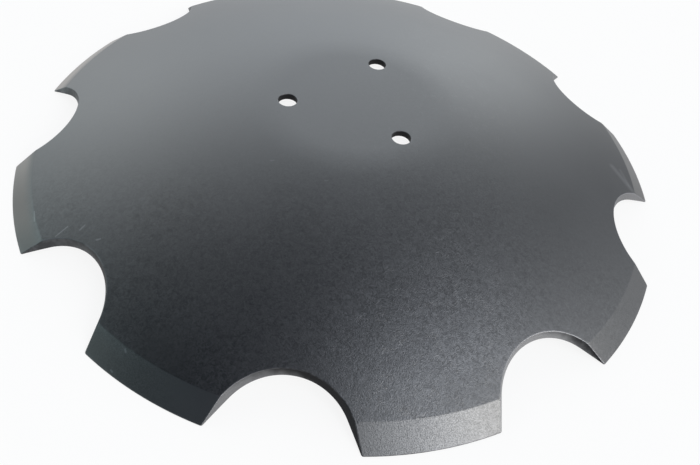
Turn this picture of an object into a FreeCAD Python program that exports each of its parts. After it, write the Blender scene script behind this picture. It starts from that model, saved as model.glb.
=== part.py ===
# Notched harrow disc blade: one dished steel disc with nine flared notches, a ground rim,
# a flat hub seat and three bolt holes. Millimetres. +Z is the disc's axis on its convex side,
# the origin is the middle of the hub seat's upper face, and one notch faces -Y.
import FreeCAD, Part
import math
import os
import Sketcher

NODE = "disc_blade"

# Driving dimensions: name, value and what it measures
SIZES = [
    ("blade_diameter", 460.0, "across the sharp rim"),
    ("sheet_thickness", 4.5, "steel sheet, square to its surface"),
    ("dish_radius", 615.0, "sphere of the concave face"),
    ("seat_diameter", 120.0, "flat middle that the hub flange bears on"),
    ("knuckle_radius", 80.0, "bend from the flat seat into the dish, concave face"),
    ("bevel_width", 14.0, "ground rim, measured in plan on the convex face"),
    ("edge_land", 0.6, "blunt edge left at the rim, along the axis"),
    ("bolt_circle_diameter", 95.0, "circle through the bolt holes"),
    ("bolt_hole_diameter", 13.0, "clearance hole for a 12 mm bolt"),
    ("bolt_count", 3, "bolt holes round the circle"),
    ("bolt_turn", 48.2, "degrees from the front notch's centre line to a bolt hole"),
    ("notch_count", 9, "notches round the rim"),
    ("notch_depth", 34.0, "from the rim to the root of a notch, in plan, concave face"),
    ("notch_root_radius", 38.0, "rounded root of a notch, concave face"),
    ("notch_flank_angle", 34.5, "degrees that each flank leans from the notch's centre line"),
    ("notch_flare", 36.0, "degrees that the wall of a notch leans back from square"),
    ("cut_clearance", 6.0, "how far the notch cutter runs past the sheet"),
]

# Expressions that several features share
RIM_RADIUS = "Sizes.blade_diameter / 2"
SEAT_RADIUS = "Sizes.seat_diameter / 2"
BOLT_RADIUS = "Sizes.bolt_circle_diameter / 2"
NOTCH_RADIUS = "(Sizes.blade_diameter / 2 - Sizes.notch_depth / 2)"
NOTCH_TILT = f"asin({NOTCH_RADIUS} / Sizes.dish_radius)"
DISH_CENTRE = (
    "(0 - Sizes.sheet_thickness - Sizes.knuckle_radius"
    " - sqrt((Sizes.dish_radius - Sizes.knuckle_radius) ^ 2 - (Sizes.seat_diameter / 2) ^ 2))"
)


def make_sheet(doc):
    """Write the driving dimensions into a spreadsheet, each with its own alias."""
    sheet = doc.addObject("Spreadsheet::Sheet", "Sizes")
    for row, (name, number, note) in enumerate(SIZES, start=1):
        sheet.set(f"A{row}", name)
        sheet.set(f"B{row}", str(number))
        sheet.set(f"C{row}", note)
        sheet.setAlias(f"B{row}", name)
    doc.recompute()
    return sheet


def origin_feature(body, role):
    """The body's own origin plane or axis with this role."""
    return next(item for item in body.Origin.OriginFeatures if item.Role == role)


def new_sketch(body, name, role):
    """An empty sketch on one of the body's origin planes."""
    sketch = body.newObject("Sketcher::SketchObject", name)
    sketch.AttachmentSupport = [(origin_feature(body, role), "")]
    sketch.MapMode = "FlatFace"
    return sketch


def dimension(sketch, name, expression, *constraint):
    """Add a named dimension to a sketch and bind it to the sheet."""
    index = sketch.addConstraint(Sketcher.Constraint(*constraint))
    sketch.renameConstraint(index, name)
    sketch.setExpression(f"Constraints.{name}", expression)


def line(start, end):
    return Part.LineSegment(FreeCAD.Vector(*start, 0), FreeCAD.Vector(*end, 0))


def arc(centre, radius, first, last):
    """Arc from the first to the last angle, in radians, turning anticlockwise."""
    circle = Part.Circle(FreeCAD.Vector(*centre, 0), FreeCAD.Vector(0, 0, 1), radius)
    return Part.ArcOfCircle(circle, first, last)


def dish_outline(sheet):
    """Points and centres of the disc's half section, as (radius, height)."""
    rim = sheet.blade_diameter / 2
    seat = sheet.seat_diameter / 2
    thick = sheet.sheet_thickness
    knuckle = (seat, -thick - sheet.knuckle_radius)
    reach = sheet.dish_radius - sheet.knuckle_radius
    sphere = (0.0, knuckle[1] - math.sqrt(reach ** 2 - seat ** 2))
    lean = math.asin(seat / reach)

    def on_sphere(radius, out):
        return (out, sphere[1] + math.sqrt(radius ** 2 - out ** 2))

    outer = sheet.dish_radius + thick
    edge = on_sphere(sheet.dish_radius, rim)
    return {
        "knuckle": knuckle,
        "sphere": sphere,
        "lean": lean,
        "under_seat": (seat, -thick),
        "under_bend": on_sphere(sheet.dish_radius, sheet.dish_radius * math.sin(lean)),
        "edge": edge,
        "land": (rim, edge[1] + sheet.edge_land),
        "bevel": on_sphere(outer, rim - sheet.bevel_width),
        "top_bend": on_sphere(outer, outer * math.sin(lean)),
        "top_seat": (seat, 0.0),
    }


def add_dished_disc(body, sheet):
    """Revolve the half section: flat seat, knuckle, dish and bevelled rim, in one sheet."""
    p = dish_outline(sheet)
    sketch = new_sketch(body, "half_section", "XZ_Plane")
    up = math.pi / 2
    bend = up - p["lean"]
    outer = sheet.dish_radius + sheet.sheet_thickness

    def angle(point):
        return math.atan2(point[1] - p["sphere"][1], point[0])

    knuckle_top = sheet.knuckle_radius + sheet.sheet_thickness
    (under_seat, under_bend, under_dish, land, bevel, top_dish, top_bend, top_seat, axis) = [
        sketch.addGeometry(piece, False)
        for piece in (
            line((0.0, -sheet.sheet_thickness), p["under_seat"]),
            arc(p["knuckle"], sheet.knuckle_radius, bend, up),
            arc(p["sphere"], sheet.dish_radius, angle(p["edge"]), bend),
            line(p["edge"], p["land"]),
            line(p["land"], p["bevel"]),
            arc(p["sphere"], outer, angle(p["bevel"]), bend),
            arc(p["knuckle"], knuckle_top, bend, up),
            line(p["top_seat"], (0.0, 0.0)),
            line((0.0, 0.0), (0.0, -sheet.sheet_thickness)),
        )
    ]
    start, end, middle = 1, 2, 3
    origin, vertical = -1, -2
    for rule in (
        ("Tangent", under_seat, end, under_bend, end),
        ("Tangent", under_bend, start, under_dish, end),
        ("Coincident", under_dish, start, land, start),
        ("Coincident", land, end, bevel, start),
        ("Coincident", bevel, end, top_dish, start),
        ("Tangent", top_dish, end, top_bend, start),
        ("Tangent", top_bend, end, top_seat, start),
        ("Coincident", top_seat, end, axis, start),
        ("Coincident", axis, end, under_seat, start),
        ("Coincident", top_seat, end, origin, start),
        ("Coincident", under_bend, middle, top_bend, middle),
        ("Coincident", under_dish, middle, top_dish, middle),
        ("PointOnObject", under_dish, middle, vertical),
        ("Horizontal", under_seat),
        ("Horizontal", top_seat),
        ("Vertical", land),
        ("Vertical", axis),
    ):
        sketch.addConstraint(Sketcher.Constraint(*rule))
    dimension(sketch, "thickness", "Sizes.sheet_thickness", "DistanceY", axis, end, axis, start,
              sheet.sheet_thickness)
    dimension(sketch, "seat", SEAT_RADIUS, "DistanceX", top_seat, end, top_seat, start,
              sheet.seat_diameter / 2)
    dimension(sketch, "knuckle", "Sizes.knuckle_radius", "Radius", under_bend, sheet.knuckle_radius)
    dimension(sketch, "dish", "Sizes.dish_radius", "Radius", under_dish, sheet.dish_radius)
    dimension(sketch, "rim", RIM_RADIUS, "DistanceX", origin, start, land, start,
              sheet.blade_diameter / 2)
    dimension(sketch, "land", "Sizes.edge_land", "DistanceY", land, start, land, end,
              sheet.edge_land)
    dimension(sketch, "bevel", "Sizes.bevel_width", "DistanceX", bevel, end, bevel, start,
              sheet.bevel_width)
    disc = body.newObject("PartDesign::Revolution", "dished_disc")
    disc.Profile = sketch
    disc.ReferenceAxis = (sketch, ["V_Axis"])
    disc.Angle = 360.0
    return disc


def add_pattern(body, feature, name, count):
    """Repeat a cut evenly round the disc's axis."""
    pattern = body.newObject("PartDesign::PolarPattern", name)
    pattern.Originals = [feature]
    pattern.Axis = (origin_feature(body, "Z_Axis"), [""])
    pattern.Angle = 360.0
    pattern.setExpression("Occurrences", count)
    body.Tip = pattern
    return pattern


def add_bolt_holes(body, sheet):
    """Punch one clearance hole through the flat seat and repeat it round the bolt circle."""
    sketch = new_sketch(body, "bolt_hole_place", "XY_Plane")
    turn = math.radians(sheet.bolt_turn - 90.0)
    reach = sheet.bolt_circle_diameter / 2
    centre = (reach * math.cos(turn), reach * math.sin(turn))
    hole = sketch.addGeometry(
        Part.Circle(FreeCAD.Vector(*centre, 0), FreeCAD.Vector(0, 0, 1), sheet.bolt_hole_diameter / 2)
    )
    spoke = sketch.addGeometry(line((0.0, 0.0), centre), True)
    sketch.addConstraint(Sketcher.Constraint("Coincident", spoke, 1, -1, 1))
    sketch.addConstraint(Sketcher.Constraint("Coincident", spoke, 2, hole, 3))
    dimension(sketch, "reach", BOLT_RADIUS, "Distance", spoke, reach)
    dimension(sketch, "turn", "(Sizes.bolt_turn - 90) * 1 deg", "Angle", spoke, turn)
    dimension(sketch, "hole", "Sizes.bolt_hole_diameter", "Diameter", hole,
              sheet.bolt_hole_diameter)
    cut = body.newObject("PartDesign::Pocket", "bolt_hole")
    cut.Profile = sketch
    cut.Type = "ThroughAll"
    cut.Midplane = True
    return add_pattern(body, cut, "bolt_holes", "Sizes.bolt_count")


def add_notch_sketch(body, sheet, name, height, height_expression):
    """Outline of the notch cutter at a height above the concave face, square to the sheet.

    The sketch plane leans with the dish at the middle of the front notch. Its Y points up the
    slope to the hub. The outline is a round root with two straight flanks tangent to it, and
    it grows with height by the tangent of the flare.
    """
    sketch = new_sketch(body, name, "XY_Plane")
    middle = sheet.blade_diameter / 2 - sheet.notch_depth / 2
    tilt = math.asin(middle / sheet.dish_radius)
    sketch.AttachmentOffset = FreeCAD.Placement(
        FreeCAD.Vector(0, -middle, -sheet.sheet_thickness),
        FreeCAD.Rotation(FreeCAD.Vector(1, 0, 0), math.degrees(tilt)),
    )
    level = f"({height_expression})"
    foot = f"({DISH_CENTRE} + sqrt(Sizes.dish_radius ^ 2 - {NOTCH_RADIUS} ^ 2))"
    sketch.setExpression(".AttachmentOffset.Base.y", f"0 - {NOTCH_RADIUS} - {level} * sin({NOTCH_TILT})")
    sketch.setExpression(".AttachmentOffset.Base.z", f"{foot} + {level} * cos({NOTCH_TILT})")
    sketch.setExpression(".AttachmentOffset.Rotation.Angle", NOTCH_TILT)

    growth = height * math.tan(math.radians(sheet.notch_flare))
    radius = sheet.notch_root_radius + growth
    half = sheet.notch_depth / 2 / math.cos(tilt)
    flank = math.radians(sheet.notch_flank_angle)
    centre = (0.0, half - sheet.notch_root_radius)
    mouth = -half - sheet.cut_clearance
    shoulder = (radius * math.cos(flank), centre[1] + radius * math.sin(flank))
    corner = (shoulder[0] + (shoulder[1] - mouth) * math.tan(flank), mouth)
    root = sketch.addGeometry(arc(centre, radius, flank, math.pi - flank), False)
    right = sketch.addGeometry(line(corner, shoulder), False)
    left = sketch.addGeometry(line((-corner[0], mouth), (-shoulder[0], shoulder[1])), False)
    close = sketch.addGeometry(line((-corner[0], mouth), corner), False)
    for rule in (
        ("Tangent", right, 2, root, 1),
        ("Tangent", left, 2, root, 2),
        ("Coincident", close, 1, left, 1),
        ("Coincident", close, 2, right, 1),
        ("Symmetric", left, 1, right, 1, -2),
        ("PointOnObject", root, 3, -2),
    ):
        sketch.addConstraint(Sketcher.Constraint(*rule))
    spread = f"{level} * tan(Sizes.notch_flare * 1 deg)"
    slope = f"Sizes.notch_depth / 2 / cos({NOTCH_TILT})"
    dimension(sketch, "root", f"Sizes.notch_root_radius + {spread}", "Radius", root, radius)
    dimension(sketch, "flank", "(90 + Sizes.notch_flank_angle) * 1 deg", "Angle", right,
              math.pi / 2 + flank)
    dimension(sketch, "mouth", f"{slope} + Sizes.cut_clearance", "DistanceY", close, 2, -1, 1, -mouth)
    dimension(sketch, "centre", f"Sizes.notch_root_radius - {slope}", "DistanceY", root, 3, -1, 1,
              -centre[1])
    return sketch


def add_notches(body, sheet):
    """Cut one notch with walls that flare towards the convex face, and repeat it round the rim."""
    below = add_notch_sketch(body, sheet, "notch_below", -sheet.cut_clearance,
                             "0 - Sizes.cut_clearance")
    above = add_notch_sketch(body, sheet, "notch_above", sheet.sheet_thickness + sheet.cut_clearance,
                             "Sizes.sheet_thickness + Sizes.cut_clearance")
    cut = body.newObject("PartDesign::SubtractiveLoft", "notch")
    cut.Profile = below
    cut.Sections = [above]
    cut.Ruled = True
    return add_pattern(body, cut, "notches", "Sizes.notch_count")


def check(doc, body):
    """Stop before anything is written if a feature failed or the solid is not sound."""
    for item in doc.Objects:
        if any(word in item.State for word in ("Invalid", "Error")):
            raise RuntimeError(f"{item.Name} failed: {item.State}")
    shape = body.Shape
    if shape.isNull() or not shape.isValid() or len(shape.Solids) != 1:
        raise RuntimeError(f"{body.Label} is not one valid solid")


def main():
    doc = FreeCAD.newDocument("harrow_disc")
    sheet = make_sheet(doc)
    body = doc.addObject("PartDesign::Body", NODE)
    body.Label = NODE
    volumes = []
    for step in (add_dished_disc, add_bolt_holes, add_notches):
        feature = step(body, sheet)
        doc.recompute()
        volumes.append(feature.Shape.Volume)
        print(f"{feature.Name}: {volumes[-1] / 1000:.1f} cm3")
    if not volumes[0] > volumes[1] > volumes[2]:
        raise RuntimeError("a cut removed nothing")
    check(doc, body)
    box = body.Shape.BoundBox
    print(f"{body.Label}: {box.XLength:.1f} x {box.YLength:.1f} x {box.ZLength:.1f} mm,"
          f" rim {box.ZMin:.2f} mm below the seat, {len(body.Shape.Faces)} faces")
    os.makedirs("parts", exist_ok=True)
    body.Shape.exportStep(f"parts/{body.Label}.step")


main()
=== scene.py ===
# %% [markdown]
# # A notched harrow disc
# This file dresses the packed model of a disc harrow's blade: a dished round of
# hardened steel, 460 mm across, with nine scallops cut from its rim, a bevel
# ground round its teeth and a flat seat with three bolt holes in its middle. The
# packed model comes first, because everything made later stays inside its box.

# %% Load the packed model
import math

import bmesh
import bpy
import numpy as np
from mathutils import Matrix, Vector


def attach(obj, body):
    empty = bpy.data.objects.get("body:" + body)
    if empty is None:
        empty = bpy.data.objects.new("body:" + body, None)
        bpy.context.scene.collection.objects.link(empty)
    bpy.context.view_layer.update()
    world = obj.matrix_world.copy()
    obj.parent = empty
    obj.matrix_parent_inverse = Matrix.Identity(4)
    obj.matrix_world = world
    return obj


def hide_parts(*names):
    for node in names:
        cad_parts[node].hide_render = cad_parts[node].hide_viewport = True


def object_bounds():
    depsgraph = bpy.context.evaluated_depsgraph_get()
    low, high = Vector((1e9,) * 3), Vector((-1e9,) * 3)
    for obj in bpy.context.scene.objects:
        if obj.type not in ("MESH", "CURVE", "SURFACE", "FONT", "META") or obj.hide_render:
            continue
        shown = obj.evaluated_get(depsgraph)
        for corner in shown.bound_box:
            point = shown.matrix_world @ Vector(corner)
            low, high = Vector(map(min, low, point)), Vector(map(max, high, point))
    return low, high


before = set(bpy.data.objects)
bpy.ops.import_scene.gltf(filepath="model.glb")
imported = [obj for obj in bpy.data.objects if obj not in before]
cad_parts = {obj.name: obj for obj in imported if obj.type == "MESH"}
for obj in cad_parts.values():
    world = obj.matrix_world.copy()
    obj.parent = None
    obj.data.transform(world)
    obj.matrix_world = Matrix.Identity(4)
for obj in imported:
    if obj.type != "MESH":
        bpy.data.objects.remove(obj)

cad_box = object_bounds()
MM = 0.001
print("CAD box in mm:", [[round(x / MM, 2) for x in corner] for corner in cad_box])

# %% [markdown]
# ## The sheet
# The blade starts as flat sheet that is pressed hot over a ball-shaped former.
# A lathe profile would do for the plain dish, but the scallops cut through its
# faces at every radius, so both faces are written as a height over the plan
# instead: flat seat, then a soft bend, then a ball. Whatever lies on a face is
# drawn in plan and lifted to its height, and so every piece of it fits.

# %% Sizes of the sheet, in millimetres
BLADE_RADIUS = 230.0
SHEET = 4.5
DISH = 615.0            # radius of the hollow face's ball
BEVEL = 14.0            # width of the ground bevel
LAND = 0.6              # what the grinder leaves of the rim

# The packed model's flat and the bend beside it are used only to find the ball's centre.
PACKED_SEAT = 60.0
PACKED_BEND = 80.0

ball_z = -SHEET - PACKED_BEND - math.sqrt((DISH - PACKED_BEND) ** 2 - PACKED_SEAT ** 2)
print(f"ball's centre {-ball_z:.1f} mm below the seat")

# %% A soft bend from the flat to the ball
# The pressed bend is softer than the packed model's, and touches the same flat and the same ball.
# Its centre, the ball's centre and the axis make a right triangle, which says where the flat ends.
SOFT_BEND = 220.0
bend_z = -SHEET - SOFT_BEND
flat_end = math.sqrt((DISH - SOFT_BEND) ** 2 - (bend_z - ball_z) ** 2)
bend_lean = math.asin(flat_end / (DISH - SOFT_BEND))
print(f"flat to {flat_end:.1f} mm, ball from {DISH * math.sin(bend_lean):.1f} mm")


# %% Heights of the two faces
def face_height(radius, rise):
    """Height of a face at each radius: flat to the seat's edge, then an arc, then a ball.
    The hollow face has rise 0, and the domed one lies SHEET outside it on the same centres."""
    bend, ball = SOFT_BEND + rise, DISH + rise
    arc = bend_z + np.sqrt(np.maximum(bend ** 2 - (radius - flat_end) ** 2, 0.0))
    dome = ball_z + np.sqrt(np.maximum(ball ** 2 - radius ** 2, 0.0))
    on_flat, on_bend = radius < flat_end, radius < ball * math.sin(bend_lean)
    return np.select([on_flat, on_bend], [bend_z + bend, arc], dome)


def hollow_height(radius):
    """The underside, which nothing is ground from."""
    return face_height(radius, 0.0)


rim_z = float(hollow_height(np.array(BLADE_RADIUS)))
print(f"lower rim at {rim_z:.2f} mm")

# %% The ground bevel
bevel_radius = BLADE_RADIUS - BEVEL
bevel_fall = (float(face_height(np.array(bevel_radius), SHEET)) - rim_z - LAND) / BEVEL


def domed_height(radius):
    """The upper side: the dome, or the bevel's straight slope to the land where that is lower."""
    slope = rim_z + LAND + (BLADE_RADIUS - radius) * bevel_fall
    return np.minimum(face_height(radius, SHEET), slope)


print(f"bevel falls {math.degrees(math.atan(bevel_fall)):.1f} degrees")

# %% [markdown]
# ## The scallops
# Each scallop is sheared out with a round-nosed punch that is square to the
# dish, and its wall breaks back as the shear tears through, so the opening is
# wider on the domed side. Cutting with a Boolean would leave long thin faces
# that shade badly. The wall is worked out instead as straight lines that lean
# out from the punch's outline, and where it meets each face is found by halving.

# %% The punch's outline and the leaning wall
NOTCHES = 9
NOTCH_DEPTH = 34.0
NOTCH_ROOT = 38.0                     # radius of the round nose
FLANK = math.radians(34.5)            # how far each flank leans from the middle line
FLARE = math.radians(36.0)            # how far the wall leans back

punch_radius = BLADE_RADIUS - NOTCH_DEPTH / 2
punch_tilt = math.asin(punch_radius / DISH)
punch_half = NOTCH_DEPTH / 2 / math.cos(punch_tilt)
root_turn = math.pi / 2 - FLANK
root_run = NOTCH_ROOT * root_turn


def notch_wall(run, height):
    """Plan point and height of the wall of the scallop that faces +X, for its +Y half.
    The run goes round the nose and then straight down the flank. Height is over the punch's
    own plane, and each millimetre of it moves the wall out by the tangent of the flare."""
    turn = np.minimum(run / NOTCH_ROOT, root_turn)
    straight = run - NOTCH_ROOT * turn
    grown = NOTCH_ROOT + height * math.tan(FLARE)
    side = grown * np.sin(turn) + straight * np.cos(turn)
    inward = grown * np.cos(turn) - straight * np.sin(turn) + punch_half - NOTCH_ROOT
    out = punch_radius - inward * math.cos(punch_tilt) + height * math.sin(punch_tilt)
    start = float(hollow_height(np.array(punch_radius)))
    return out + 1j * side, start + inward * math.sin(punch_tilt) + height * math.cos(punch_tilt)


print(f"punch tilted {math.degrees(punch_tilt):.1f} degrees, nose {root_run:.1f} mm of run")

# %% Where the wall meets a face
BELOW, ABOVE = -20.0, 30.0            # heights on the wall under and over both faces
HALVINGS = 45
RUN_ON = 40.0                         # how far the flank is followed past the nose
TABLE_STEPS = 3000


def wall_meets(run, face):
    """Height at which the wall meets a face, by halving the range that holds it."""
    low, high = np.full(np.shape(run), BELOW), np.full(np.shape(run), ABOVE)
    for _ in range(HALVINGS):
        middle = (low + high) / 2
        plan, z = notch_wall(run, middle)
        over = z > face(np.abs(plan))
        low, high = np.where(over, low, middle), np.where(over, middle, high)
    return (low + high) / 2


def wall_edge(face):
    """The wall's edge on a face as a fine table: the run, its point in plan, and the run at
    which it reaches the rim."""
    run = np.linspace(0.0, root_run + RUN_ON, TABLE_STEPS)
    plan = notch_wall(run, wall_meets(run, face))[0]
    return run, plan, np.interp(BLADE_RADIUS, np.abs(plan), run)


for name, face in (("hollow", hollow_height), ("domed", domed_height)):
    run, plan, end = wall_edge(face)
    print(f"{name} edge: root at {abs(plan[0]):.2f} mm, flank ends after {end:.2f} mm")

# %% [markdown]
# ## The outline of a blade
# One half of a scallop and of the tooth beside it holds the whole outline. It is
# the wall's edge, a small rounding where wall and rim meet, because no sheared
# corner stays sharp, and the rim. Nine drawn one by one could drift apart, so it
# is drawn once, turned and mirrored. A plan point is kept as one complex number,
# so a turn is a product and a mirror the conjugate. Both faces get the same count
# of points, so walls join them in pairs.

# %% Half a scallop and half a tooth
WALL_STEPS, CORNER_STEPS, RIM_STEPS = 25, 5, 12
CORNER_CUT = 1.1                      # how far from the corner its rounding starts
PERIOD = 2 * math.pi / NOTCHES
corner_share = np.arange(1, CORNER_STEPS) / CORNER_STEPS


def bowed(t, first, corner, last):
    """The quadratic curve that leaves first and reaches last, aimed at the corner."""
    return (1 - t) ** 2 * first + 2 * t * (1 - t) * corner + t ** 2 * last


def half_outline(face):
    """Plan points from a scallop's middle line to its tooth's, on the edge of a face."""
    run, plan, end = wall_edge(face)

    def at(length):
        return np.interp(length, run, plan.real) + 1j * np.interp(length, run, plan.imag)

    wall = at(np.linspace(0.0, end - CORNER_CUT, WALL_STEPS))
    corner = at(end)
    turns = np.linspace(np.angle(corner) + CORNER_CUT / BLADE_RADIUS, PERIOD / 2, RIM_STEPS)
    rim = BLADE_RADIUS * np.exp(1j * turns)
    return np.concatenate([wall, bowed(corner_share, wall[-1], corner, rim[0]), rim])


print("points in a half:", len(half_outline(domed_height)))


# %% Mirrored and turned nine times
def all_round(half):
    """The closed outline: the half and its mirror image, turned to each scallop from the front."""
    tooth = np.concatenate([half, np.conj(half[1:-1][::-1]) * np.exp(1j * PERIOD)])
    turns = np.exp(1j * (PERIOD * np.arange(NOTCHES) - math.pi / 2))
    return (turns[:, None] * tooth).ravel()


domed_edge = all_round(half_outline(domed_height))
hollow_edge = all_round(half_outline(hollow_height))
ROUND = len(domed_edge)
print("columns round the blade:", ROUND)

# %% Which points lie on the rim
# 0 along a wall, 1 along the rim, and rising over the corner between them.
on_wall, along_rim = np.zeros(WALL_STEPS), np.ones(2 * RIM_STEPS - 1)
on_rim = np.tile(np.concatenate([on_wall, corner_share, along_rim, corner_share[::-1],
                                 on_wall[1:]]), NOTCHES)
print("share of the outline on the rim:", round(float(on_rim.mean()), 2))

# %% [markdown]
# ## Skin of the blade, from a circle to the edges
# Every column starts on a plain circle inside the roots of the scallops, runs out
# over the domed face, round the edge, down the wall, round the lower edge and back
# over the hollow face. Rows crowd together beside the bevel's line and the edges.
# That is what keeps smooth shading crisp there without any sharp marks. A Bevel
# modifier could round the edges too, but by the same width on wall and rim.

# %% Out over a face, crowding at the bevel's line
WEB_RADIUS = 180.0                    # the circle inside the roots
CREASE_STEP = 0.5                     # from the bevel's line to the row on each side of it
ROW_GAP = 0.004                       # least gap between rows, as a share of a column


def raised(plan, face):
    """Points of a face over a plan, as x, y and height."""
    return np.stack([plan.real, plan.imag, face(np.abs(plan))], -1)


def kept_in_order(share):
    """Shares along a column, each held back far enough for the rows after it to fit before 1."""
    left = len(share) - 1 - np.arange(len(share))
    return np.minimum(share, 1 - ROW_GAP * left[:, None])


def out_to_edge(start, end, steps, crease=None):
    """Plan rows on straight lines from a circle's points to the edge's. With a crease, rows lie
    on that radius and a little either side, where the line |start + t (end - start)| meets it."""
    way = end - start
    if crease is None:
        share = np.linspace(0, 1, steps + 1)[:, None] * np.ones(len(start))
    else:
        a, b = np.abs(way) ** 2, (way * np.conj(start)).real
        c = np.abs(start) ** 2 - crease ** 2
        at = np.minimum((-b + np.sqrt(b * b - a * c)) / a, 1.0)
        near = CREASE_STEP / np.abs(way)
        first = np.linspace(0, 1, steps + 1)[:-1, None] * (at - near)
        last = at + near + np.linspace(0, 1, steps - 1)[:, None] * (1 - at - near)
        share = np.concatenate([first, (at - near)[None], at[None], last])
        share = np.maximum.accumulate(np.minimum(share, 1.0))
    return start + kept_in_order(share) * way


web_start = WEB_RADIUS * domed_edge / np.abs(domed_edge)
print("shortest way from the circle to the edge:",
      round(float(np.abs(domed_edge - web_start).min()), 2), "mm")

# %% Round an edge
ROUND_STEPS = 4
DOMED_ROUND = (0.38, 0.20)            # rounding of the domed edge, on a wall and on the rim
HOLLOW_ROUND = (0.30, 0.16)           # the same for the hollow edge


def rounded(first, corner, last):
    """Rows of points on the curve from first to last, aimed at the corner."""
    return bowed(np.linspace(0, 1, ROUND_STEPS + 1)[:, None, None], first, corner, last)


def toward(start, end, distance):
    """The point that lies a distance from start on the way to end."""
    way = end - start
    return start + way * (distance / np.linalg.norm(way, axis=-1))[:, None]


def inward_normals(line):
    """Unit vectors that point into the steel: the outline's direction turned by a quarter."""
    ahead, behind = np.roll(line, -1) - line, line - np.roll(line, 1)
    way = ahead / np.abs(ahead) + behind / np.abs(behind)
    return 1j * way / np.abs(way)


domed_round, hollow_round = (on_a_wall + (on_the_rim - on_a_wall) * on_rim
                             for on_a_wall, on_the_rim in (DOMED_ROUND, HOLLOW_ROUND))
domed_in, hollow_in = inward_normals(domed_edge), inward_normals(hollow_edge)
print("roundings:", domed_round.min(), "to", domed_round.max(), "mm on the domed side")

# %% Columns from circle to edge and back
OVER_STEPS, UNDER_STEPS = 7, 9
EDGE_GAP = 0.35                       # from a rounding to the last row of the face
WALL_ROWS = (0.06, 0.35, 0.65, 0.94)  # shares of the way down the wall

over = out_to_edge(web_start, domed_edge + domed_in * (domed_round + EDGE_GAP),
                   OVER_STEPS, bevel_radius)
under = out_to_edge(web_start, hollow_edge + hollow_in * (hollow_round + EDGE_GAP), UNDER_STEPS)
top, low = raised(domed_edge, domed_height), raised(hollow_edge, hollow_height)
top_start = raised(domed_edge + domed_in * domed_round, domed_height)
low_end = raised(hollow_edge + hollow_in * hollow_round, hollow_height)
wall_top, wall_low = toward(top, low, domed_round), toward(low, top, hollow_round)
wall_rows = wall_top + np.array(WALL_ROWS)[:, None, None] * (wall_low - wall_top)

column_parts = [raised(over, domed_height), rounded(top_start, top, wall_top), wall_rows,
                rounded(wall_low, low, low_end), raised(under[::-1], hollow_height)]
columns = np.concatenate(column_parts)
rows = [len(part) for part in column_parts]
print("rows in a column:", rows, "faces:", (len(columns) - 1) * ROUND)

# %% [markdown]
# ## Marks that follow the form
# Four numbers are kept at every point for the finish to read: how much it belongs
# to a sheared wall, how near it is to an edge that gets rubbed and a painted
# highlight, how far round the scallop it lies, and how far down the wall. A second
# material on the wall's faces would end in a hard line, but these fade. They are
# plain attributes on the mesh, so what they colour stays with the steel from every side.

# %% Marks for wall, edge and depth
MARKS = ("wall", "edge", "flank", "deep")
RISING = [0, 0.25, 0.5, 0.75, 1]      # over the rows of one rounding
# Rows of a rounding: most rubbed, and most given the painted highlight, in their middle.
RUB_AND_HIGHLIGHT = [0.6, 1, 1, 1, 0.6]          # the same rows, most rubbed in their middle
BESIDE = [0.2]                        # the face's row beside a rounding
UPPER_DEEP = [0, 0, 0, 0, 0.02]       # depth over the upper rounding, which ends on the wall
LOWER_DEEP = [0.98, 1, 1, 1, 1]       # and over the lower one, which starts on it


def row_marks(values):
    """One number for each row, spread over the whole ring of columns."""
    return np.repeat(np.asarray(values, float)[:, None], ROUND, axis=1)


is_wall = row_marks([0] * rows[0] + RISING + [1] * rows[2] + RISING[::-1] + [0] * rows[4])
is_wall *= 1 - on_rim
is_edge = row_marks([0] * (rows[0] - 1) + BESIDE + RUB_AND_HIGHLIGHT + [0] * rows[2] + RUB_AND_HIGHLIGHT + BESIDE
                    + [0] * (rows[4] - 1))
deep = row_marks([0] * rows[0] + UPPER_DEEP + list(WALL_ROWS) + LOWER_DEEP + [1] * rows[4])
print("marks:", is_wall.shape, is_edge.shape, deep.shape)

# %% Marks for the flanks
# From 0 at a scallop's root to 1 at the end of one flank and -1 at the end of the other.
half_flank = np.concatenate([np.linspace(0, 1, WALL_STEPS), np.ones(CORNER_STEPS - 1),
                             np.linspace(1, 0, RIM_STEPS)])
one_flank = np.concatenate([half_flank, -half_flank[1:-1][::-1]])
flank = np.tile(one_flank, NOTCHES) * np.ones((len(columns), 1))
print("flank marks:", flank.shape)

# %% [markdown]
# ## The web and the seat
# Inside the circle both faces are rings. Their points start out crowded behind
# the teeth and even out towards the seat. The seat needs far fewer points, so
# one narrow ring of six-sided faces takes three columns into one, where the steel
# is all but flat. Round each bolt hole a grid runs out to its third of the seat.

# %% Rings from the web to the seat
EVEN_RADIUS = 74.0                    # inside it, points lie evenly round
WEB_RINGS = 11
BEND_RINGS = [70.0, 67.0, 64.5, 62.3, 60.4, 59.0, 58.0]     # closing up towards the seat
EVEN_SHIFT = 0.4                      # turn of the even points, in steps

ring_radii = np.concatenate([np.linspace(WEB_RADIUS, EVEN_RADIUS, WEB_RINGS), BEND_RINGS])
even_turns = -math.pi / 2 + 2 * math.pi / ROUND * (np.arange(ROUND) + EVEN_SHIFT)
crowded_turns = np.unwrap(np.angle(web_start))
crowded_turns += 2 * math.pi * np.round((even_turns[0] - crowded_turns[0]) / (2 * math.pi))
evening = np.clip((WEB_RADIUS - ring_radii) / (WEB_RADIUS - EVEN_RADIUS), 0, 1)
evening = evening ** 2 * (3 - 2 * evening)
turns = crowded_turns + evening[:, None] * (even_turns - crowded_turns)
rings = ring_radii[:, None] * np.exp(1j * turns)
print("rings:", rings.shape)

# %% The ring that takes three columns into one
SEAT_RING = 57.0
INTO_ONE = 3                          # columns outside for each one inside

seat_turns = even_turns[1::INTO_ONE]
seat_ring = SEAT_RING * np.exp(1j * seat_turns)


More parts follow.
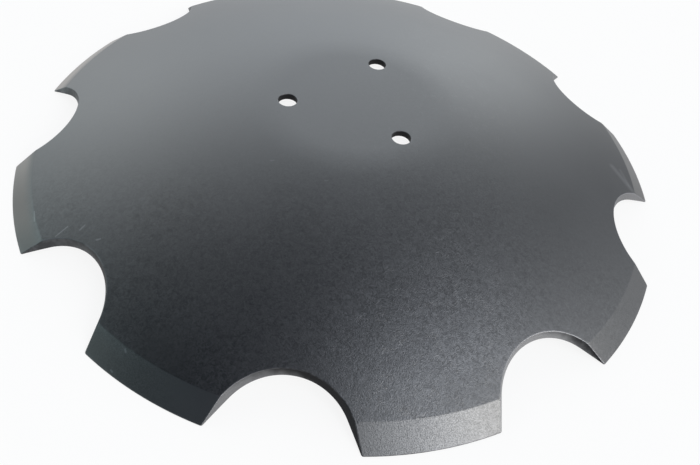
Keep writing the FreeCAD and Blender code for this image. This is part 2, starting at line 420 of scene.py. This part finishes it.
def six_sided(face):
    """Points and faces of the ring that takes three columns into one: the outer ring first,
    then the inner one. Each face has three short outer sides and one long inner side."""
    outer, inner = raised(rings[-1], face), raised(seat_ring, face)
    start = INTO_ONE * np.arange(len(seat_ring)) + 1
    after = (start[:, None] + np.arange(INTO_ONE + 1)) % ROUND
    near = ROUND + np.arange(len(seat_ring))
    beyond = ROUND + (np.arange(len(seat_ring)) + 1) % len(seat_ring)
    faces = np.concatenate([near[:, None], after, beyond[:, None]], 1)
    return np.concatenate([outer, inner]), faces


print("points on the seat's ring:", len(seat_ring))

# %% Grids round the bolt holes
BOLT_CIRCLE = 47.5
BOLT_HOLE = 6.5
HOLE_ROUND = 0.45                     # rounding of a hole's edges
HOLES = 3
FIRST_HOLE = math.radians(-41.8)
SPOKE_STEPS = 20                      # from the middle out along the line between two thirds
GRID_ROWS = 9
GRID_CROWDING = 1.4                   # above 1, rows crowd to the hole
GRID_GAP = 0.3                        # from the hole's rounding to the first row
AS_SEEN, EVENLY = 0.3, 0.7            # how points lie round the hole, shares of two ways


def seat_grid(hole_number):
    """Plan grid from a hole's edge to the edge of its third of the seat. Each line runs straight
    from a point on the hole to one on the third's outline, and the rows crowd to the hole."""
    middle = FIRST_HOLE + 2 * math.pi / HOLES * hole_number
    shift = (middle - math.pi / HOLES - seat_turns[0]) / (seat_turns[1] - seat_turns[0])
    third = np.roll(seat_ring, -int(round(shift)))[:len(seat_ring) // HOLES + 1]
    spoke = np.arange(SPOKE_STEPS) / SPOKE_STEPS
    outline = np.concatenate([spoke * third[0], third, (spoke * third[-1])[:0:-1]])
    centre = BOLT_CIRCLE * np.exp(1j * middle)
    seen = np.unwrap(np.angle(outline - centre))
    evenly = seen[0] + 2 * math.pi * np.arange(len(outline)) / len(outline)
    turn = np.exp(1j * (AS_SEEN * seen + EVENLY * evenly))
    edge = centre + (BOLT_HOLE + HOLE_ROUND + GRID_GAP) * turn
    share = np.linspace(0, 1, GRID_ROWS)[:, None] ** GRID_CROWDING
    return centre, edge + share * (outline - edge)


grids = [seat_grid(number) for number in range(HOLES)]
print("points round a hole:", grids[0][1].shape[1], "centre:", np.round(grids[0][0], 2))

# %% Walls of the holes
HOLE_ROWS = (-0.7, -1.8, -2.9, -3.8)  # heights of the wall's rows under the seat


def hole_wall(centre, edge):
    """Rows down a hole: from the flat, round its upper edge, down and round its lower edge."""
    way = (edge - centre) / np.abs(edge - centre)

    def ring(radius, z):
        return raised(centre + radius * way, lambda far: domed_height(far) + z)

    mouth = rounded(ring(BOLT_HOLE + HOLE_ROUND, 0.0), ring(BOLT_HOLE, 0.0),
                    ring(BOLT_HOLE, -HOLE_ROUND))
    foot = rounded(ring(BOLT_HOLE, HOLE_ROUND - SHEET), ring(BOLT_HOLE, -SHEET),
                   ring(BOLT_HOLE + HOLE_ROUND, -SHEET))
    inside = np.stack([ring(BOLT_HOLE, z) for z in HOLE_ROWS])
    return np.concatenate([raised(edge, domed_height)[None], mouth, inside, foot,
                           raised(edge, hollow_height)[None]])


# The same marks as on the columns, one for each row down a hole.
hole_marks = (np.r_[0, 0, .3, .6, .9, np.ones(6), .9, .6, .3, 0, 0][:, None],
              np.r_[.3, .7, 1, 1, 1, .7, 0, 0, 0, 0, .7, 1, 1, 1, .7, .3][:, None],
              1.0,
              np.r_[np.zeros(6), .2, .4, .6, .8, np.ones(6)][:, None])
print("rows down a hole:", len(hole_wall(grids[0][0], grids[0][1][0])), "=", len(hole_marks[0]))

# %% [markdown]
# ## One closed mesh
# A Solidify modifier would give one face its thickness, but not walls that lean,
# so both faces and the walls are patches of one skin. They are gathered as grids
# of points with faces between neighbours, and each closes on itself round the
# blade or round a hole. Then the doubled points on their shared lines are merged,
# which closes the skin, and the mesh is measured to show that it is watertight
# and how much steel it holds.

# %% A skin that gathers patches
NO_MARKS = (0.0,) * len(MARKS)


class Skin:
    """Points, marks and faces of all patches, joined later by merging what coincides."""

    def __init__(self):
        self.points, self.marks, self.faces, self.count = [], [], [], 0

    def add(self, points, faces, marks=NO_MARKS):
        """Adds points with their marks, and faces that number them from 0."""
        flat = points.reshape(-1, 3)
        spread = [np.broadcast_to(mark, points.shape[:-1]).ravel() for mark in marks]
        self.points.append(flat)
        self.marks.append(np.stack(spread, -1))
        self.faces += (faces + self.count).tolist()
        self.count += len(flat)

    def add_grid(self, grid, marks=NO_MARKS, turned=False):
        """Faces between neighbours in a grid whose rows close on themselves."""
        count, around = grid.shape[:2]
        number = np.arange(count * around).reshape(count, around)
        beside = np.roll(number, -1, axis=1)
        faces = np.stack([number[:-1], number[1:], beside[1:], beside[:-1]], -1).reshape(-1, 4)
        self.add(grid, faces[:, ::-1] if turned else faces, marks)


print("marks at each point:", MARKS)

# %% Gather the patches
skin = Skin()
skin.add_grid(columns, (is_wall, is_edge, flank, deep))
for face, turned in ((domed_height, False), (hollow_height, True)):
    skin.add_grid(raised(rings[::-1], face), turned=turned)
    points, faces = six_sided(face)
    skin.add(points, faces[:, ::-1] if turned else faces)
for centre, grid in grids:
    skin.add_grid(raised(grid, domed_height))
    skin.add_grid(raised(grid, hollow_height), turned=True)
    skin.add_grid(hole_wall(centre, grid[0]), hole_marks, turned=True)
print("points before merging:", skin.count)

# %% Make the mesh and merge its patches
MERGE_WITHIN = 0.004


def make_mesh(name, skin):
    """A mesh object in metres from the gathered patches, merged, with its four marks."""
    mesh = bpy.data.meshes.new(name)
    mesh.from_pydata((np.concatenate(skin.points) * MM).tolist(), [], skin.faces)
    for mark, values in zip(MARKS, np.concatenate(skin.marks).astype(np.float32).T):
        mesh.attributes.new(mark, "FLOAT", "POINT").data.foreach_set("value", values.copy())
    shape = bmesh.new()
    shape.from_mesh(mesh)
    bmesh.ops.remove_doubles(shape, verts=shape.verts, dist=MERGE_WITHIN * MM)
    bmesh.ops.recalc_face_normals(shape, faces=shape.faces)
    open_edges = sum(1 for e in shape.edges if len(e.link_faces) != 2)
    volume = shape.calc_volume(signed=True) / MM ** 3 / 1000
    shape.to_mesh(mesh)
    shape.free()
    mesh.polygons.foreach_set("use_smooth", np.ones(len(mesh.polygons), bool))
    piece = bpy.data.objects.new(name, mesh)
    bpy.context.scene.collection.objects.link(piece)
    triangles = sum(len(p.vertices) - 2 for p in mesh.polygons)
    print(f"{name}: {triangles} triangles, {open_edges} open edges, {volume:.1f} cubic centimetres")
    return piece


blade = make_mesh("blade", skin)
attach(blade, "root")
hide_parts("disc_blade")

# %% [markdown]
# ## Shader sums
# A finish is easier to read as sums than as a web of nodes. This small class
# stands for one output of a node, and arithmetic on it adds the Math nodes.


# %% A wire that can be added and multiplied
class Wire:
    """One output of a node. Arithmetic with numbers and other wires adds Math nodes."""

    def __init__(self, tree, socket):
        self.tree, self.socket = tree, socket

    @classmethod
    def node(cls, tree, kind, settings=None, sockets=None, out=0):
        """A new node: its settings first, then its sockets' values or links."""
        made = tree.nodes.new(kind)
        for name, value in (settings or {}).items():
            setattr(made, name, value)
        for name, value in (sockets or {}).items():
            if isinstance(value, Wire):
                tree.links.new(value.socket, made.inputs[name])
            else:
                made.inputs[name].default_value = value
        return cls(tree, made.outputs[out] if made.outputs else None)

    def math(self, operation, *values):
        """A Math node on the given values and wires."""
        return Wire.node(self.tree, "ShaderNodeMath", {"operation": operation},
                         dict(enumerate(values)))

    def __add__(self, other):
        return self.math("ADD", self, other)

    def __sub__(self, other):
        return self.math("SUBTRACT", self, other)

    def __rsub__(self, other):
        return self.math("SUBTRACT", other, self)

    def __mul__(self, other):
        return self.math("MULTIPLY", self, other)

    def __truediv__(self, other):
        return self.math("DIVIDE", self, other)

    def __pow__(self, other):
        return self.math("POWER", self, other)

    __radd__, __rmul__ = __add__, __mul__

    def absolute(self):
        """Its size without its sign."""
        return self.math("ABSOLUTE", self)

    def exponential(self):
        """The number e raised to it."""
        return self.math("EXPONENT", self)

    def clamped(self):
        """Held between 0 and 1."""
        return self.math("MAXIMUM", self.math("MINIMUM", self, 1.0), 0.0)

    def ramp(self, low, high):
        """0 at low, 1 at high, with a soft start and end. Low may be the larger number."""
        return Wire.node(self.tree, "ShaderNodeMapRange", {"interpolation_type": "SMOOTHSTEP"},
                         {"Value": self, "From Min": low, "From Max": high})


print("beside its sums, a wire has:", [name for name in vars(Wire) if not name.startswith("_")])

# %% [markdown]
# ## The finish
# The blade is hot-rolled steel with its scale on, under one thin dark coat: a
# satin grey that mirrors the room dimly. A flat picture of such steel would
# stretch on the dish and smear down the walls. So the finish is worked out from
# where a point lies, in millimetres, and from the four marks on the mesh.

# %% Where a point lies
finish = bpy.data.materials.new("coated steel")
finish.use_nodes = True
steel = finish.node_tree
place = Wire.node(steel, "ShaderNodeTexCoord", out="Object")
place = Wire.node(steel, "ShaderNodeVectorMath", {"operation": "SCALE"},
                  {0: place, "Scale": 1 / MM})


def along(x, y):
    """Millimetres along a direction in plan: the dot product of the place with it."""
    return Wire.node(steel, "ShaderNodeVectorMath", {"operation": "DOT_PRODUCT"},
                     {0: place, 1: (x, y, 0.0)}, out="Value")


across, out = along(1.0, 0.0), along(0.0, 1.0)          # to the right, and away from the camera
radius = (across * across + out * out) ** 0.5
ground = radius.ramp(bevel_radius - 0.3, bevel_radius + 0.3)              # 1 on the bevel
right = across.ramp(40.0, 90.0)
print("nodes for the place:", len(steel.nodes))


# %% Marks, noise and colours
def marked(name):
    """One of the marks kept on the mesh."""
    return Wire.node(steel, "ShaderNodeAttribute", {"attribute_name": name}, out="Fac")


def noise(scale, detail, rough=0.5, warp=0.0):
    """Noise whose scale is its waves per millimetre. Warp bends its blobs into worms."""
    return Wire.node(steel, "ShaderNodeTexNoise", {"noise_dimensions": "3D"},
                     {"Vector": place, "Scale": scale, "Detail": detail, "Roughness": rough,
                      "Distortion": warp})


def mixed(share, first, second):
    """A colour between two. A Mix node's colours are its sockets 6 and 7, its result output 2."""
    return Wire.node(share.tree, "ShaderNodeMix", {"data_type": "RGBA"},
                     {"Factor": share, 6: first, 7: second}, out=2)


CLOUD_SCALE, PATCH_SCALE = 0.022, 0.12
wall_mark, edge_mark, flank_mark, deep_mark = (marked(name) for name in MARKS)
clouds = noise(CLOUD_SCALE, 3.0, 0.55)
patches = noise(PATCH_SCALE, 3.0, 0.6)
print(f"clouds {1 / CLOUD_SCALE:.0f} mm across, patches {1 / PATCH_SCALE:.0f} mm")

# %% [markdown]
# ### Grain
# Scale is a skin of specks and short worm-like ridges, one to three millimetres
# across. Soft light hardly shows their relief, so most of the grain is light and
# dark specks, with a faint bump to go with them. It is strongest at the front,
# just right of the middle, and fades to the back and the far right. On the bevel,
# where the wheel took the scale off, only a finer grain is left.

# %% Specks, blots and curls
near = along(0.35, -1.0).ramp(30.0, 215.0)
coarse = (0.1 + 0.9 * near) * (1 + across.ramp(-20.0, 50.0) * 0.45 - across.ramp(80.0, 150.0))
in_front = out.ramp(-50.0, -140.0)

worms = noise(0.45, 2.5, 0.6, 1.4)
grain = noise(1.5, 1.0)
blots = noise(0.3, 2.0, 0.6, 1.2)

# A curl is the thin line along which a smooth noise passes its middle value.
CURL_THINNESS = 24
smooth = noise(0.26, 0.0, 0.5, 2.2)
curls = (1 - (smooth - 0.5).absolute() * CURL_THINNESS).clamped() * patches.ramp(0.5, 0.62)
curls = curls * across.ramp(-20.0, 60.0) * across.ramp(150.0, 90.0) * (1 - ground)

# How strongly each shows in the colour.
WORM, GRAIN, BLOT, CURL = 2.8, 2.2, 1.1, 0.35
speck = (worms - 0.5) * (1 - ground) * WORM + (grain - 0.5) * ground * GRAIN
speck = (0.5 + speck * coarse + (blots - 0.5) * in_front * BLOT + curls * CURL).clamped()
print("nodes with the grain:", len(steel.nodes))

# %% [markdown]
# ### The coat
# The coat isn't even. Just right of the front tooth it is painted paler, a painted
# reflection of the bright box at the front right, and it is paler along the front
# bevels. Two patches behind them are painted a little darker, as painted shade. A
# single grey would read as plastic, and noise alone would put such patches anywhere,
# so each is a soft mask in plan, laid over the specks.

# %% Coat over the dish and the bevel
DARK_SCALE_AND_SHADE, PALE_SCALE = (0.086, 0.086, 0.087, 1), (0.152, 0.152, 0.154, 1)
CLOUDED = (0.135, 0.135, 0.138, 1)
PALE_AND_SHEEN = (0.178, 0.178, 0.178, 1)

coat = mixed(speck, DARK_SCALE_AND_SHADE, PALE_SCALE)
coat = mixed(clouds.ramp(0.3, 0.7) * 0.25, coat, CLOUDED)

# Painted reflection: just right of the front tooth the dish is painted paler, where the bright box
# at the front right mirrors in it. The front bevels are paler too.
painted_sheen = along(0.2, -1.0).ramp(168.0, 215.0) * across.ramp(-10.0, 30.0) * across.ramp(90.0, 40.0)
painted_sheen = painted_sheen * 0.34 * (1 - ground)
paler_bevels = across.ramp(-85.0, -40.0) * across.ramp(68.0, 40.0) * (1 - across.ramp(-30.0, 20.0) * 0.5)
paler_bevels = paler_bevels * out.ramp(-100.0, -150.0) + across.ramp(120.0, 90.0) * 0.08
coat = mixed(painted_sheen + ground * paler_bevels, coat, PALE_AND_SHEEN)

# Painted shade: two patches beside the front bevels are painted darker. The dark scale colour
# serves both the grain and this shade.
shade_right = across.ramp(65.0, 90.0) * across.ramp(125.0, 105.0)
shade_left = across.ramp(-92.0, -78.0) * across.ramp(-45.0, -60.0)
shade_by_bevel = out.ramp(-150.0, -185.0) * radius.ramp(190.0, 212.0) * (1 - ground)
coat = mixed((shade_right + shade_left) * shade_by_bevel * 0.45, coat, DARK_SCALE_AND_SHADE)
print("nodes with the coat:", len(steel.nodes))

# %% Wear and painted reflection on the left teeth
# Their bevels have lost most of the coat and show warm brown steel. Their fall from pale at the
# back to dark at the front is painted reflection.
WARM_DARK, WARM_FRONT = (0.148, 0.131, 0.125, 1), (0.115, 0.108, 0.106, 1)
WARM_PALE = (0.272, 0.250, 0.238, 1)

rim_wear_and_sheen = mixed(out.ramp(-122.0, -145.0), WARM_DARK, WARM_FRONT)
rim_wear_and_sheen = mixed(out.ramp(-116.0, -60.0), rim_wear_and_sheen, WARM_PALE)
to_rim = radius.ramp(bevel_radius - 1, bevel_radius + 7)
coat = mixed(to_rim * across.ramp(-50.0, -150.0), coat, rim_wear_and_sheen)
print("nodes with the wear:", len(steel.nodes))

# %% [markdown]
# ### Sheared walls and rubbed edges, with painted shade and highlights
# A punch first cuts and then tears. The cut part of a wall is bright, and the
# torn part rough and almost black. On top of that the walls carry painted shade
# and light. The same flank of every scallop is painted dark, a painted copy of the
# shade on the front scallop's left-facing wall. The upper part of a wall darkens
# first. Walls towards the front right are painted paler where they face the light.
# So the dark follows the flank, with patches of noise to break its line. Edges are
# rubbed paler where the blades knock together in a stack, and the top edges towards
# the right get a painted highlight.

# %% Walls of the scallops
CUT_DIM, CUT_PAINTED_LIT = (0.22, 0.22, 0.225, 1), (0.31, 0.31, 0.315, 1)
TORN_AND_SHADED = (0.028, 0.028, 0.03, 1)
LEFT_WALL_DARK, LEFT_WALL_PALE = (0.05, 0.05, 0.052, 1), (0.13, 0.13, 0.135, 1)

# Painted shade: the same flank of every scallop and the upper part of each wall are painted dark,
# less so towards the front right. The torn part of the shear is real.
tear_and_shade = flank_mark - 0.75 * right - 1.2 * right * out.ramp(-85.0, -55.0)
tear_and_shade = tear_and_shade + (patches - 0.5) * 0.6 - (deep_mark - 0.5) * 0.4
# Painted light: the cut part of the walls towards the front right is painted paler.
cut_and_lit = mixed(right * out.ramp(-55.0, -85.0), CUT_DIM, CUT_PAINTED_LIT)
bare_and_shaded = mixed(tear_and_shade.ramp(-0.6, 0.2), cut_and_lit, TORN_AND_SHADED)
# Far to the left the walls are darker, in patches.
left_wall_patches = mixed(patches.ramp(0.4, 0.6), LEFT_WALL_DARK, LEFT_WALL_PALE)
bare_and_shaded = mixed(across.ramp(-110.0, -150.0) * 0.7, bare_and_shaded, left_wall_patches)
coat = mixed(wall_mark, coat, bare_and_shaded)
print("nodes with the walls:", len(steel.nodes))

# %% Rubbed edges and painted highlights
RUB_AND_HIGHLIGHT_STEEL = (0.25, 0.25, 0.26, 1)

# Painted highlight: the top edges of the walls towards the right are painted pale where they catch
# the light. The patches of noise are rubbing, on every edge.
highlight_on_top = right * (wall_mark * 2).clamped() * (1 - deep_mark)
rubs_and_highlight = patches.ramp(0.35, 0.7) * 0.4 + highlight_on_top * flank_mark.ramp(-0.7, 0.2) * 0.6
coat = mixed(edge_mark * rubs_and_highlight, coat, RUB_AND_HIGHLIGHT_STEEL)
print("nodes with the edges:", len(steel.nodes))

# %% [markdown]
# ### Handling marks
# A few short scratches and knocks show bare metal, and two broad paler streaks lie
# near the right rim. There are only ten, each in its own place, so they are listed
# one by one instead of drawn from noise.

# %% Ten marks
# Each is two points in plan, a half width and a strength. Millimetres.
BARE_METAL = (0.42, 0.42, 0.43, 1)
SCRATCHES = (
    ((-156.3, -138.0), (-151.5, -131.5), 0.7, 0.28),
    ((-142.6, -133.4), (-140.9, -130.3), 0.9, 0.22),
    ((-129.6, -139.3), (-127.6, -138.6), 0.9, 0.28),
    ((-178.8, -121.0), (-175.5, -127.7), 0.7, 0.2),
    # These two are broad paler streaks near the right rim.
    ((199.0, 16.0), (213.4, -0.6), 4.2, 0.19),
    ((206.6, 16.4), (211.8, 2.4), 2.4, 0.13),
    ((-90.7, -197.5), (-90.0, -198.6), 0.9, 0.3),
    ((-96.0, -207.0), (-95.0, -207.7), 0.8, 0.3),
    ((-42.6, -73.2), (-41.0, -72.7), 0.9, 0.12),
    ((-7.0, -82.0), (-5.4, -81.4), 0.8, 0.12),
)


def scratch(start, end, wide):
    """1 on a line in plan and 0 beyond its width: the distance from the place to the line's
    nearest point, which lies at the clamped share of the way along it."""
    way = (end[0] - start[0], end[1] - start[1], 0.0)
    flat = Wire.node(steel, "ShaderNodeVectorMath", {"operation": "MULTIPLY_ADD"},
                     {0: place, 1: (1.0, 1.0, 0.0), 2: (-start[0], -start[1], 0.0)})
    share = Wire.node(steel, "ShaderNodeVectorMath", {"operation": "DOT_PRODUCT"},
                      {0: flat, 1: way}, out="Value")
    share = (share / (way[0] ** 2 + way[1] ** 2)).clamped()
    nearest = Wire.node(steel, "ShaderNodeVectorMath", {"operation": "SCALE"},
                        {0: way, "Scale": share})
    return Wire.node(steel, "ShaderNodeVectorMath", {"operation": "DISTANCE"},
                     {0: flat, 1: nearest}, out="Value").ramp(wide, 0.0)


for start, end, wide, strength in SCRATCHES:
    coat = mixed(scratch(start, end, wide) * strength, coat, BARE_METAL)
print("handling marks:", len(SCRATCHES))

# %% [markdown]
# ### Gloss and relief
# The coat is satin and the sheared walls are duller. Relief this fine, about a
# tenth of a millimetre, would need millions of faces, so a bump stands for it.
# The same noises that colour the grain also lift it, so that light and colour
# agree, and the walls get a rougher one of their own.

# %% Gloss, relief and the finished material
SATIN = 0.40
RELIEF = 0.08                         # millimetres that a height of 1 lifts the surface

gloss = SATIN + (clouds - 0.5) * 0.06 + wall_mark * 0.2
height = (worms * (0.75 - ground * 0.5) + grain * 0.6 + curls * 0.35) * coarse
height = height + blots * in_front * 0.4 + wall_mark * noise(0.6, 3.0, 0.7) * 1.5
bump = Wire.node(steel, "ShaderNodeBump", None,
                 {"Height": height, "Distance": RELIEF * MM, "Strength": 1.0})

shader = steel.nodes["Principled BSDF"]
for name, wire in (("Base Color", coat), ("Roughness", gloss), ("Normal", bump)):
    steel.links.new(wire.socket, shader.inputs[name])
shader.inputs["Metallic"].default_value = 1.0
blade.data.materials.append(finish)
print("finish:", blade.data.materials[0].name, "with", len(steel.nodes), "nodes")

# %% [markdown]
# ## Floor and light
# A pale floor carries the blade. To the eye, and in reflections, it is nearly
# white; only a small share of it is real, so that it keeps a faint shadow. The
# light is the studio's own: bright behind and to the right, dim at the left.
# Satin steel mirrors its room, and lamps would show in it as small hard spots,
# so the room is written into the world as a few soft glows.

# %% The floor's finish
FLOOR_GREY = 0.8
FLOOR_GLOW = 0.88                     # how much of it is plain white to the eye


def floor_finish():
    """Grey where light falls on it, and mostly glowing white to the camera and to reflections."""
    material = bpy.data.materials.new("pale floor")
    material.use_nodes = True
    tree = material.node_tree
    tree.nodes.clear()
    rays = Wire.node(tree, "ShaderNodeLightPath").socket.node.outputs
    eye, glossy, through = (Wire(tree, rays[name]) for name in
                            ("Is Camera Ray", "Is Glossy Ray", "Is Transmission Ray"))
    seen = (eye + glossy + through).clamped()
    lit = Wire.node(tree, "ShaderNodeBsdfDiffuse", None,
                    {"Color": (FLOOR_GREY, FLOOR_GREY, FLOOR_GREY, 1)})
    glow = Wire.node(tree, "ShaderNodeEmission", None, {"Color": (1, 1, 1, 1), "Strength": 1.0})
    both = Wire.node(tree, "ShaderNodeMixShader", None,
                     {"Fac": seen * FLOOR_GLOW, 1: lit, 2: glow})
    Wire.node(tree, "ShaderNodeOutputMaterial", None, {"Surface": both})
    return material


pale_floor = floor_finish()
print("floor's finish:", pale_floor.name)

# %% Floor
FLOOR_SIZE = 50.0                     # metres, so that its far edge lies near the horizon
floor_z = cad_box[0][2]


def floor_piece():
    """A flat square on which the rim stands."""
    half = FLOOR_SIZE / 2
    mesh = bpy.data.meshes.new("floor")
    corners = np.array([[-half, -half], [half, -half], [half, half], [-half, half]])
    mesh.from_pydata(np.c_[corners, np.full(4, floor_z)].tolist(), [], [(0, 1, 2, 3)])
    piece = bpy.data.objects.new("floor", mesh)
    bpy.context.scene.collection.objects.link(piece)
    mesh.materials.append(pale_floor)
    return piece


floor = floor_piece()
print("floor at", round(floor_z / MM, 2), "mm")

# %% Studio light
# Each light is a direction, in degrees round from the back towards the right and degrees up, a
# tightness and a colour. Its glow is the colour times exp(tightness * (cosine of the angle - 1)).
STUDIO = (
    ("back left", -52, 23, 15.8, (1.96, 2.07, 2.08)),
    ("back", -10, 26, 7.9, (1.93, 2.06, 2.14)),
    ("back right", 19, 19, 28.8, (1.84, 1.92, 1.92)),
    ("left window", -100, -6, 9.4, (2.02, 2.66, 2.67)),
    ("right wall", 82, 23, 8.6, (1.38, 1.44, 1.48)),
    ("front right box, warm", 118, 31, 40.0, (8.35, 8.00, 7.35)),
    ("front right box, cool", 136, 31, 40.0, (5.55, 5.90, 6.35)),
    ("box, its top", 110, 58, 40.0, (3.25, 3.53, 3.95)),
)
STUDIO_BASE = (0.010, 0.016, 0.042)


def light_the_studio():
    """The world's colour as a sum of soft coloured glows over a dim base."""
    world = bpy.data.worlds.new("studio")
    bpy.context.scene.world = world
    world.use_nodes = True
    tree = world.node_tree
    look = Wire.node(tree, "ShaderNodeTexCoord", out="Generated")
    total = STUDIO_BASE
    for name, round_by, up, tight, colour in STUDIO:
        a, e = math.radians(round_by), math.radians(up)
        toward_light = (math.sin(a) * math.cos(e), math.cos(a) * math.cos(e), math.sin(e))
        cosine = Wire.node(tree, "ShaderNodeVectorMath", {"operation": "DOT_PRODUCT"},
                           {0: look, 1: toward_light}, out="Value")
        glow = Wire.node(tree, "ShaderNodeVectorMath", {"operation": "SCALE"},
                         {0: colour, "Scale": ((cosine - 1) * tight).exponential()})
        total = Wire.node(tree, "ShaderNodeVectorMath", {"operation": "ADD"}, {0: glow, 1: total})
    tree.links.new(total.socket, tree.nodes["Background"].inputs["Color"])


light_the_studio()
print("lights:", [entry[0] for entry in STUDIO])

# %% [markdown]
# ## Camera
# The photograph was taken from the front, about fifty degrees up and close, with
# a wide lens and the camera tipped a little to one side. A camera set by eye gets
# the near teeth right and the far ones wrong, so its place, turn and lens were
# fitted to the corners of the teeth, the holes and the outline. The shift is the
# small crop that is left over.

# %% Camera
CAMERA_PLACE = Vector((17.376, -321.988, 241.375)) * MM
CAMERA_RIGHT = Vector((0.98269616, 0.14671097, 0.11306697))
CAMERA_LOOK = Vector((-0.0058182, 0.63457921, -0.77283593))
LENS, SENSOR = 28.728, 36.0
SHIFT = (-0.00234, 0.0069)
NEAREST = 0.01                        # metres in front of the lens where the view starts

data = bpy.data.cameras.new("camera")
data.sensor_width, data.lens = SENSOR, LENS
data.shift_x, data.shift_y = SHIFT
data.clip_start = NEAREST
camera = bpy.data.objects.new("camera", data)
bpy.context.scene.collection.objects.link(camera)
back = -CAMERA_LOOK.normalized()
side = CAMERA_RIGHT - CAMERA_RIGHT.dot(back) * back
side.normalize()
turned = Matrix((side, back.cross(side), back)).transposed().to_4x4()
camera.matrix_world = Matrix.Translation(CAMERA_PLACE) @ turned
bpy.context.scene.camera = camera
print("camera stands", round((CAMERA_PLACE.length) / MM), "mm from the seat")

# %% [markdown]
# ## Look
# The plain view transform shows colours as written.

# %% View
bpy.context.scene.view_settings.view_transform = "Standard"
